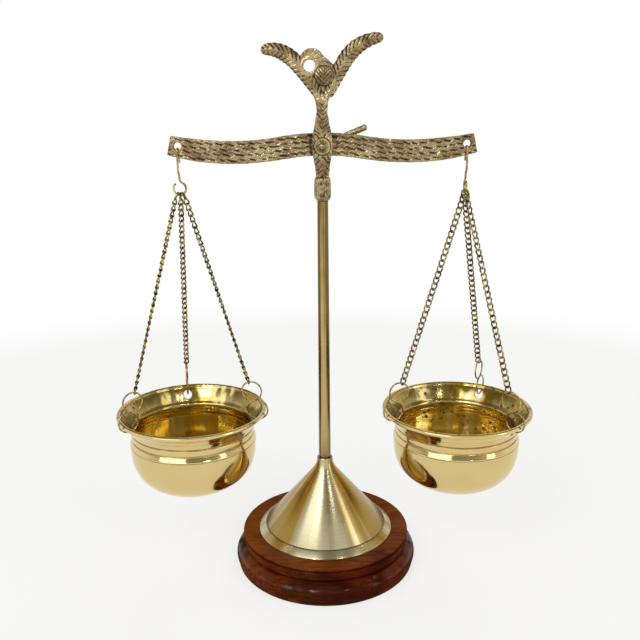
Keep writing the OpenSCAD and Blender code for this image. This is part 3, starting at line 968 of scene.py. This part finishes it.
@dataclass
class Eagle(Casting):
    """Cast eagle plate with feathered wings, a domed breast, chevrons and the column's socket."""

    front_y: float = -1.7
    breast: Point = (1.3, 37.2)
    breast_r: float = 5.5
    eye: Point = (-6.5, 42.3)
    eye_r: float = 3.15
    head: Point = (-5.2, 44.6)
    head_r: float = 6.4
    wings_low: float = 24.0
    stroke_count: int = 9
    boss_r: float = 4.7
    socket_top: float = -16.8
    socket_h: float = 12.9

    def __post_init__(self) -> None:
        """Lays out the two wings."""
        self.wings = [
            Feathers(((-2.5, 28), (-9, 39), (-17, 52), (-29.5, 50.8)), 2.9, -1),
            Feathers(((3.2, 27), (9, 37), (12.5, 53.8), (30.2, 56.3)), 2.7, 1),
        ]

    def chevrons(self, here: Vector, pitch: float, slope: float) -> Point:
        """Stacked V cuts.

        Args:
            here: The place as seen from the front.
            pitch: The distance between two cuts.
            slope: How steeply their arms rise.

        Returns:
            Height and hollow.
        """
        drift = 1.5 * waver(here.x * 0.25, here.y * 0.25, 4.0)
        depth = 0.75 + 1.1 * waver(here.x * 0.5, here.y * 0.4, 9.0)
        phase = (here.y + slope * abs(here.x - 0.2) + drift) / pitch
        groove = strokes(math.pi * phase, 0.7) * min(1.0, max(0.1, depth))
        return -0.45 * groove, groove

    def front(self, here: Vector) -> Point:
        """The front's relief: breast, eye rim, wings, head, boss and chevrons.

        Args:
            here: The place as seen from the front.

        Returns:
            Height and hollow.
        """
        from_breast = math.dist(here, self.breast)
        from_eye = math.dist(here, self.eye)
        from_bolt = here.length
        if from_breast < self.breast_r:
            local = here - Vector(self.breast)
            phase = (local.y - 1.15 * abs(local.x + 0.3)) / 2.3
            groove = strokes(math.pi * phase, 0.6)
            groove *= smooth(self.breast_r - 0.4 - from_breast, 0.0, 0.8)
            rim = near(from_breast, self.breast_r - 0.2, 0.5)
            return -0.5 * groove - 0.25 * rim, max(groove * 0.9, rim * 0.9, 0.2)
        if from_eye < self.eye_r + 2.0:
            rim = near(from_eye, self.eye_r + 0.9, 0.8)
            return 0.25 * rim, 0.35 * (1 - smooth(from_eye - self.eye_r, 0.0, 0.7))
        if here.y > self.wings_low:
            found = [r for r in (wing.relief(here) for wing in self.wings) if r]
            if found:
                height, hollow, share = min(found, key=lambda r: r[2])
                if math.dist(here, self.head) > self.head_r or share < 0.6:
                    return height, hollow
            angle = math.atan2(here.y - self.eye[1], here.x - self.eye[0])
            lines = strokes(angle * self.stroke_count + from_eye * 0.5, 0.6)
            return -0.32 * lines, max(lines * 0.5, 0.15)
        if from_bolt < self.boss_r + 0.4:
            return 0.0, 0.9 * near(from_bolt, self.boss_r, 0.5)
        if here.y > self.socket_top:
            pitch, slope = (2.4, -0.9) if here.y > 0 else (3.2, 0.9)
            height, hollow = self.chevrons(here, pitch, slope)
            return height, max(hollow, 0.16 + 0.45 * waver(here.x * 0.3, here.y * 0.2, 1.0))
        return 0.0, 0.0

    def socket(self, place: Vector) -> Point:
        """Upright strokes round the barrel of the socket.

        Args:
            place: The place in millimetres.

        Returns:
            Height and hollow.
        """
        turn = math.atan2(place.y, place.x)
        low = PIVOT_Z + self.socket_top - self.socket_h
        share = (place.z - low) / self.socket_h
        inside = smooth(share, 0.12, 0.2) * (1 - smooth(share, 0.78, 0.86))
        wander = noise.noise(place * 0.3)
        stroke = strokes(turn * self.stroke_count + wander, 0.6) * inside * (0.7 + wander)
        barrel = 0.25 * math.sin(math.pi * min(1.0, max(0.0, share)))
        return barrel - 0.3 * stroke, max(stroke, 0.18 + 0.5 * wander)

    def relief(self, place: Vector, normal: Vector) -> Point:
        """Height and hollow anywhere on the casting."""
        if place.z < PIVOT_Z + self.socket_top + 0.3:
            radial = Vector((place.x, place.y)).length
            outside = smooth(radial, 3.9, 4.2) * (1 - abs(normal.z))
            height, hollow = self.socket(place)
            return height * outside, hollow * outside
        facing = smooth(-normal.y, 0.35, 0.8) * smooth(self.front_y + 0.9 - place.y, 0.0, 0.4)
        if facing <= 0:
            return 0.0, 0.25 * smooth(abs(normal.y), 0.0, 0.6)
        height, hollow = self.front(Vector((place.x, place.z - PIVOT_Z)))
        return height * facing, hollow * facing


@dataclass
class PivotBolt:
    """Pivot bolt with a domed head that carries a ring groove."""

    head_y: float = -2.3
    head_r: float = 3.3
    head_h: float = 2.4
    shank_r: float = 1.5
    end_y: float = 11.0
    steps: int = 48

    def build(self) -> None:
        """Makes the bolt and dresses the washers on it."""
        length = self.end_y - self.head_y
        edge = [(-0.1, 0.0), (0.0, -0.35), (-0.35, -0.95)]
        ring = [(-0.85, -1.15), (-1.05, -1.0), (-1.25, -1.45)]
        profile = [
            (0.0, length),
            (self.shank_r - 0.5, length),
            (self.shank_r, length - 0.5),
            (self.shank_r, 0.0),
            *moved(edge + ring, self.head_r, 0.0),
            (1.4, -2.0),
            (0.8, -self.head_h + 0.08),
            (0.0, -self.head_h),
        ]
        turn = Matrix.Translation((0, self.head_y, PIVOT_Z)) @ Matrix.Rotation(-math.pi / 2, 4, "X")
        Blank().spin(profile, self.steps).move(turn).piece(
            "domed_bolt", Finishes.BOLT, "stand", ["pivot_bolt"], sharp=50
        )
        redress("front_washer", Finishes.TURNED)
        redress("rear_washer", Finishes.TURNED)


@dataclass
class Beam(Casting):
    """Cast beam with rows of wavy dashes along both arms."""

    over: float = 4.6
    dip: float = 4.1
    dip_share: float = 0.575
    crown_share: float = 0.265
    lift: float = 1.0
    hole_z: float = 0.6
    hole_r: float = 2.2
    row: float = 2.85
    dash: float = 5.7

    def middle(self, x: float) -> float:
        """The middle line of the beam.

        Args:
            x: The place along the beam.

        Returns:
            Its height over the pivot.
        """
        reach = ARM + self.over
        crown, dip_x = reach * self.crown_share, reach * self.dip_share
        u = abs(x)
        slope = 2 * self.dip / dip_x
        if u < crown:
            return self.lift - slope * u * u / (2 * crown)
        return self.lift - self.dip + slope * (dip_x - u) ** 2 / (2 * (dip_x - crown))

    def relief(self, place: Vector, normal: Vector) -> Point:
        """Height and hollow of the dashes on the front and back faces, with painted shade beside
        the hub.
        """
        facing = smooth(abs(normal.y), 0.5, 0.85)
        x, z = place.x, place.z - PIVOT_Z
        along = abs(x)
        from_hole = math.hypot(along - ARM, z - self.hole_z)
        if facing <= 0 or from_hole < self.hole_r + 0.8:
            return 0.0, 0.5 * (1 - smooth(from_hole, self.hole_r, self.hole_r + 0.5))
        lean = self.middle(x + 0.5) - self.middle(x - 0.5)
        v = (z - self.middle(x)) / math.hypot(1, lean)
        v += 0.7 * waver(x * 0.11, v * 0.2, 3.0)
        row = math.floor(v / self.row)
        phase = x / self.dash + 0.37 * row + 0.5 * waver(x * 0.08, row * 2.0, 5.0)
        share = phase - math.floor(phase)
        stroke = share / 0.8 if share < 0.8 else (1 - share) / 0.2
        gap = abs(v - self.row * (row + 0.5) - 1.1 * (0.5 - stroke))
        rooted = 1 - smooth(along, 12.0, 30.0)
        fade = max(smooth(share, 0.0, 0.14) * (1 - smooth(share, 0.66, 0.9)), 0.7 * rooted)
        wander = 0.8 + 0.9 * waver(x * 0.25, row * 3.0, 8.0)
        groove = (1 - smooth(gap, 0.1, 0.56)) * (0.4 + 0.6 * fade) * min(1.0, wander)
        groove *= smooth(6.0 - abs(v), 0.0, 0.6)
        # Painted shade: darker beside the hub, where the beam meets the trunk.
        painted_hub_shade = 0.5 * (1 - smooth(along, 6.0, 12.0)) * (0.7 + noise.noise(place * 0.4))
        lip = smooth(gap, 0.45, 0.75) * (1 - smooth(gap, 0.9, 1.3))
        height = (0.22 + 0.25 * rooted) * lip - (0.5 + 0.3 * rooted) * groove
        hollow = max((0.95 - 0.3 * rooted) * groove, painted_hub_shade, 0.24 * (1 - lip))
        hollow += 0.15 * noise.noise(place * 0.18)
        return height * facing, hollow * facing


@dataclass
class Lever(Casting):
    """Round clamp lever on a hub behind the beam."""

    angle: float = 22.0
    fuller: float = 0.3

    def relief(self, place: Vector, normal: Vector) -> Point:
        """Height and hollow: the bar is a little fuller than its solid, except towards the beam."""
        lift = math.radians(self.angle)
        axis = Vector((math.cos(lift), 0.0, math.sin(lift)))
        along = math.hypot(place.x, place.z - PIVOT_Z)
        free = smooth(normal.y, -0.8, -0.2) * (1 - abs(normal.dot(axis)))
        return self.fuller * smooth(along, 6.0, 11.0) * free, 0.2


@dataclass
class CurbLink:
    """One twisted link of a curb chain."""

    wire: float = 0.95
    width: float = 3.95
    twist: float = 72.0
    sides: int = 6
    bend_steps: int = 5

    def template(self, pitch: float, gap: float) -> bpy.types.Mesh:
        """A link from the middle of its upper bend downwards along Z.

        Args:
            pitch: The distance between two links.
            gap: The play between two links.

        Returns:
            The link's mesh in millimetres.
        """
        bend = (self.width - self.wire) / 2
        run = pitch + self.wire + gap - 2 * bend
        link = bmesh.new()
        ring = bmesh.ops.create_circle(link, radius=self.wire / 2, segments=self.sides)["verts"]
        bmesh.ops.transform(link, matrix=Matrix.Translation((bend, 0, bend)), verts=ring)
        last: list = ring + list(link.edges)
        for centre in (bend, bend + run):
            turned = bmesh.ops.spin(
                link, geom=last, cent=(0, 0, centre), axis=(0, 1, 0), angle=math.pi,
                steps=self.bend_steps,
            )["geom_last"]
            if centre == bend:
                edges = [part for part in turned if isinstance(part, bmesh.types.BMEdge)]
                grown = bmesh.ops.extrude_edge_only(link, edges=edges)["geom"]
                last = [part for part in grown if not isinstance(part, bmesh.types.BMFace)]
                tips = [part for part in last if isinstance(part, bmesh.types.BMVert)]
                bmesh.ops.translate(link, vec=(0, 0, run), verts=tips)
        first = [e for e in link.edges if e.is_boundary]
        bmesh.ops.bridge_loops(link, edges=first)
        bmesh.ops.recalc_face_normals(link, faces=link.faces)
        height = 2 * bend + run
        for vert in link.verts:
            share = vert.co.z / height - 0.5
            vert.co = Matrix.Rotation(math.radians(self.twist) * share, 3, "Z") @ vert.co
        return shaped("link", link)


@dataclass
class PanSet:
    """One pan with its three chains and S hooks.

    The places repeat the source's own sizes: the chains hang from the hook's loop and hold the
    rim hooks. Each chain has its bearing in degrees, and -1, 0 or 1 for its place in the loop.
    """

    side: int
    prefix: str
    chains: dict[str, tuple[float, int]]
    finish: Finishes
    pan_r: float = 45.0
    bead_r: float = 1.4
    bowl_r: float = 38.0
    waist_r: float = 36.4
    shoulder_h: float = 32.2
    waist_rise: float = 4.0
    flare_rise: float = 12.8
    wall: float = 1.1
    rim_z: float = 97.0
    hole_r: float = 2.65
    drill_h: float = 14.0
    line_cut: float = 0.2
    bowl_power: float = 2.76
    flare_power: float = 1.6
    hook_wire: float = 1.2
    hook_loop: float = 3.5
    loop_z: float = 230.8
    wire_gap: float = 0.12
    top_turn: float = 28.0
    first_pitch: float = 3.4
    links: int = 34
    rim_wire: float = 1.0
    rim_loop: float = 6.0
    rim_seat: float = 0.3
    rim_side: float = 38.0
    belly_steps: int = 40
    steps: int = 192

    def __post_init__(self) -> None:
        """Works out what depends on other sizes."""
        self.body = f"{self.prefix}_pan"
        self.centre = Vector((self.side * ARM, BEAM_Y, 0.0))
        self.waist_z = self.shoulder_h + self.waist_rise
        self.bead_z = self.waist_z + self.flare_rise
        self.low_z = self.rim_z - self.bead_z
        self.bead_place_r = self.pan_r - self.bead_r
        self.link = CurbLink()

    def belly(self, inset: float) -> list[Point]:
        """The bowl's wall from the bottom's middle to the shoulder.

        Args:
            inset: How far inside the outer face it lies.

        Returns:
            Its points.
        """
        top = self.shoulder_h - 0.6
        r, h, power = self.bowl_r - inset, top - inset, 2 / self.bowl_power
        turns = (i / self.belly_steps for i in range(self.belly_steps + 1))
        angles = [math.radians(90 * turn) for turn in turns]
        return [
            (r * math.sin(a) ** power, top - h * max(0.0, math.cos(a)) ** power) for a in angles
        ]

    def flare(
        self, inset: float, start: float, steps: int, line_at: int | None = None
    ) -> list[Point]:
        """The flared neck up to the rim.

        Args:
            inset: How far inside the outer face it lies.
            start: The share of the neck's height at which it begins.
            steps: How many steps it takes.
            line_at: The step that is pressed in as a turned line, if any.

        Returns:
            Its points.
        """
        line = []
        for i in range(steps + 1):
            s = start + (1 - start) * i / steps
            out = (self.bead_place_r - self.waist_r) * s**self.flare_power
            lean = math.atan(self.flare_power * out / s / self.flare_rise)
            cut = inset + (self.line_cut if i == line_at else 0.0)
            r = self.waist_r + out - cut * math.cos(lean)
            line.append((r, self.waist_z + self.flare_rise * s + inset * math.sin(lean)))
        return line

    def outer_line(self) -> list[Point]:
        """Outside: belly, crisp shoulder band, crease, a low bead, a groove, and the flare.

        Returns:
            Its points.
        """
        shoulder = [(0.0, -0.3), (-0.12, -0.1), (-0.5, 0.35)]
        crease = [(0.45, 2.3), (0.1, 2.65), (0.1, 2.8)]
        bead = [(0.45, 3.1), (0.6, 3.6), (0.6, 6.0), (0.45, 6.5), (0.2, 6.7), (0.25, 6.85)]
        return [
            *self.belly(0.0),
            *moved(shoulder, self.bowl_r, self.shoulder_h),
            *moved(crease + bead, self.waist_r, self.shoulder_h),
            *self.flare(0.0, 0.27, 14, 4),
        ]

    def inner_line(self) -> list[Point]:
        """Inside: belly, recess under the neck, a raised ring, and the flare.

        Returns:
            Its points.
        """
        shoulder = [(0.0, -0.2), (-0.35, 0.7)]
        recess = [(0.2, 2.7), (0.1, 3.4), (0.1, 5.2)]
        ring = [(-0.15, 5.6), (-0.35, 6.2), (-0.25, 7.0), (0.1, 7.7), (0.5, 8.2)]
        return [
            *self.belly(self.wall),
            *moved(shoulder, self.bowl_r - self.wall, self.shoulder_h),
            *moved(recess + ring, self.waist_r - self.wall, self.shoulder_h),
            *self.flare(self.wall, 0.36, 12),
        ]

    def pan(self) -> None:
        """Spins the pan and drills its three holes."""
        outer, inner = self.outer_line(), self.inner_line()
        bead = arc((self.bead_place_r, self.bead_z), self.bead_r, -75, 165, 18)
        profile = [*outer[:-1], *bead, *inner[::-1][1:]]
        blank = Blank().spin(profile, self.steps)
        blank.move(Matrix.Translation(self.centre + Vector((0, 0, self.low_z))))
        made = blank.piece(f"{self.body}_bowl", self.finish, self.body, [self.body], sharp=35)
        drill = Blank()
        hole_z = self.rim_z - self.bead_r - self.hole_r
        for turn, _ in self.chains.values():
            place = (
                Matrix.Translation(self.centre + Vector((0, 0, hole_z)))
                @ Matrix.Rotation(math.radians(turn), 4, "Z")
                @ Matrix.Translation((self.waist_r + 1, 0, 0))
                @ Matrix.Rotation(math.pi / 2, 4, "Y")
            )
            bmesh.ops.create_cone(
                drill.mesh, cap_ends=True, segments=32, radius1=self.hole_r, radius2=self.hole_r,
                depth=self.drill_h, matrix=place,
            )
        tool = drill.metres("drill")
        cut = made.modifiers.new("holes", "BOOLEAN")
        cut.operation = "DIFFERENCE"
        cut.solver = "EXACT"
        cut.object = tool
        drilled = evaluated(made)
        made.modifiers.clear()
        made.data = drilled
        bpy.data.objects.remove(tool)
        self.mark_inside(drilled)

    def mark_inside(self, data: bpy.types.Mesh) -> None:
        """Notes which faces' corners look into the bowl.

        Args:
            data: The drilled pan.
        """
        # The mark picks the inside's painted reflection tones, and its roughness, waves and spots.
        inside = data.attributes.new("inside", "FLOAT", "POINT")
        for vert, mark in zip(data.vertices, inside.data):
            out = vert.co - self.centre * MM
            out.z = 0.0
            mark.value = smooth(vert.normal.z - vert.normal.dot(unit(out)), -0.2, 0.4)

    def rim_place(self, turn: float) -> Vector:
        """The middle of an S hook's lower loop.

        Args:
            turn: The hook's bearing in degrees.

        Returns:
            The place in millimetres.
        """
        offset = self.rim_loop - self.rim_wire / 2 - self.bead_r - self.rim_seat
        lift = math.radians(self.rim_side)
        r = self.bead_place_r - offset * math.cos(lift)
        a = math.radians(turn)
        z = self.rim_z + offset * math.sin(lift)
        return self.centre + Vector((r * math.cos(a), r * math.sin(a), z))

    def chain(self, key: str) -> None:
        """Hangs one chain of twisted links between the hook and an S hook.

        Args:
            key: Which chain.
        """
        turn, spread = self.chains[key]
        along, across = Vector((1, 0, 0)), Vector((0, 1, 0))
        if self.side > 0:
            along, across = across, along
        a = math.radians(spread * self.top_turn)
        radial = along * math.sin(a) - Vector((0, 0, math.cos(a)))
        hook = self.centre + Vector((0, 0, self.loop_z)) + radial * self.hook_loop
        place = self.rim_place(turn)
        reach = unit(place - hook)
        lean = unit(radial * reach.dot(radial) + across * reach.dot(across))
        top = hook - lean * (self.hook_wire / 2 + self.link.wire / 2 + self.wire_gap)
        start = top + lean * (self.first_pitch - 3 * self.wire_gap)
        down = unit(place - start)
        held = self.rim_wire / 2 + self.link.wire / 2 + self.wire_gap
        span = (place - down * (3 * self.rim_loop - held) - start).length
        pitch = (span - self.link.wire - self.wire_gap) / (self.links - 1)
        tangent = Vector((-math.sin(math.radians(turn)), math.cos(math.radians(turn)), 0))
        wide = unit(tangent.cross(down))
        top_wide = unit(radial.cross(across).cross(lean))
        first = math.degrees(math.atan2(top_wide.dot(tangent), top_wide.dot(wide)))
        half = self.link.twist / 2 * (-1 if spread < 0 else 1)
        last = 90 - half
        first += half
        drift = (last - first + 90) % 180 - 90
        chain = Blank()
        top_link = CurbLink(twist=0.0).template(self.first_pitch, self.wire_gap)
        chain.hang(top_link, top, top_wide, lean)
        link = CurbLink(twist=2 * half).template(pitch, self.wire_gap)
        for i in range(1, self.links):
            flat = math.radians(first + drift * i / (self.links - 1))
            side = unit(wide * math.cos(flat) + tangent * math.sin(flat))
            chain.hang(link, start + down * ((i - 1) * pitch), side, down)
        name = f"{self.prefix}_chain_{key}"
        chain.piece("curb_" + name, Finishes.WIRE, self.body, [name], sharp=180)

    def build(self) -> None:
        """Makes the pan and chains, and dresses the hooks."""
        self.pan()
        for key in self.chains:
            self.chain(key)
            redress(f"{self.prefix}_rim_hook_{key}", Finishes.HOOK)
        redress(f"{self.prefix}_hook", Finishes.HOOK)


@dataclass(frozen=True)
class Lamp:
    """A soft rectangular lamp that looks at the middle of the scale."""

    name: str
    place: Triple
    size: Point
    power: float
    aim: Triple = (0.0, 0.0, 0.15)

    def build(self) -> None:
        """Adds the lamp to the scene."""
        data = bpy.data.lights.new(self.name, "AREA")
        data.shape = "RECTANGLE"
        data.size, data.size_y = self.size
        data.energy = self.power
        turn = (Vector(self.aim) - Vector(self.place)).to_track_quat("-Z", "Y")
        made = added(self.name, data)
        made.matrix_world = Matrix.Translation(self.place) @ turn.to_matrix().to_4x4()


@dataclass
class Studio:
    """Pale floor, soft lamps, pale surroundings and the camera at the photo's angle."""

    eye: Triple = (-0.00215, -0.4496, 0.2791)
    pitch: float = 15.49
    roll: float = -0.55
    lens: float = 45.0
    floor_r: float = 6.0
    mirrored: float = 0.72
    ambient: float = 0.55
    paper: Triple = (0.84, 0.835, 0.82)
    white: Triple = (1.0, 1.0, 1.0)
    overhead: Triple = (0.24, 0.22, 0.18)
    daylight: Triple = (1.0, 0.99, 0.97)
    lamps: tuple[Lamp, ...] = (
        Lamp("window", (-0.9, -1.2, 1.3), (1.3, 1.3), 11.0),
        Lamp("strip", (1.3, -0.7, 0.8), (0.35, 1.4), 3.2),
        Lamp("back", (0.3, 1.4, 1.2), (1.2, 0.8), 5.0),
        Lamp("left_spark", (-0.34, -0.85, 0.95), (0.09, 0.09), 1.3),
        Lamp("right_spark", (0.42, -0.75, 0.9), (0.07, 0.14), 0.7),
    )

    def floor(self) -> None:
        """A plain pale disc that fades into the surroundings far from the scale."""
        sheet = bmesh.new()
        bmesh.ops.create_circle(sheet, cap_ends=True, radius=self.floor_r, segments=96)
        made = added("floor", shaped("floor", sheet))
        paint = bpy.data.materials.new("pale_floor")
        paint.use_nodes = True
        graph = Graph(paint.node_tree)
        radius, _ = graph.round_the_axis()
        matt = graph.signal("ShaderNodeBsdfDiffuse", {"Color": self.paper})
        far = graph.signal("ShaderNodeEmission", {"Color": self.white, "Strength": 1.0})
        share = graph.math("MAXIMUM", radius.ramp(0.2, 0.7), graph.seen() * self.mirrored)
        faded = graph.signal("ShaderNodeMixShader", {0: share, 1: matt, 2: far})
        graph.node("ShaderNodeOutputMaterial", {"Surface": faded})
        made.data.materials.append(paint)

    def surroundings(self) -> None:
        """White to the camera and near the horizon, darker overhead, and soft grey as light."""
        world = bpy.data.worlds.new("surroundings")
        bpy.context.scene.world = world
        world.use_nodes = True
        graph = Graph(world.node_tree)
        upward = graph.signal("ShaderNodeTexCoord", output="Generated")
        tone = graph.mix(graph.part(upward, "Z").ramp(0.22, 0.66), self.white, self.overhead)
        shown = graph.signal("ShaderNodeBackground", {"Color": tone, "Strength": 1.0})
        sockets = {"Color": self.daylight, "Strength": self.ambient}
        glow = graph.signal("ShaderNodeBackground", sockets)
        both = graph.signal("ShaderNodeMixShader", {0: graph.seen(), 1: glow, 2: shown})
        graph.node("ShaderNodeOutputWorld", {"Surface": both})

    def camera(self) -> None:
        """The camera at the photo's viewing angle."""
        data = bpy.data.cameras.new("camera")
        data.lens = self.lens
        data.clip_start = 0.01
        made = added("camera", data)
        made.matrix_world = (
            Matrix.Translation(self.eye)
            @ Matrix.Rotation(math.radians(90 - self.pitch), 4, "X")
            @ Matrix.Rotation(math.radians(self.roll), 4, "Z")
        )
        bpy.context.scene.camera = made

    def build(self) -> None:
        """Sets the whole studio up."""
        self.floor()
        self.surroundings()
        for lamp in self.lamps:
            lamp.build()
        self.camera()
        bpy.context.scene.view_settings.view_transform = "Standard"


def main() -> None:
    """Sets up the studio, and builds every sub-assembly in order."""
    logging.basicConfig(level=logging.INFO, format="%(name)s %(message)s")
    Studio().build()
    parts = [
        WoodenBase(),
        ConeFoot(),
        Column(),
        Eagle("eagle_finial", "cast_eagle", "stand", 0.34),
        PivotBolt(),
        Beam("beam", "cast_beam", "beam", 0.32),
        Lever("clamp_lever", "cast_lever", "lever", 0.24),
        PanSet(
            -1, "left", {"front": (353, 1), "back": (103, 0), "side": (215, -1)},
            Finishes.LEFT_PAN,
        ),
        PanSet(
            1, "right", {"front": (315, -1), "back": (59, 1), "side": (194, 0)},
            Finishes.RIGHT_PAN,
        ),
    ]
    for part in parts:
        part.build()


if __name__ == "__main__":
    main()
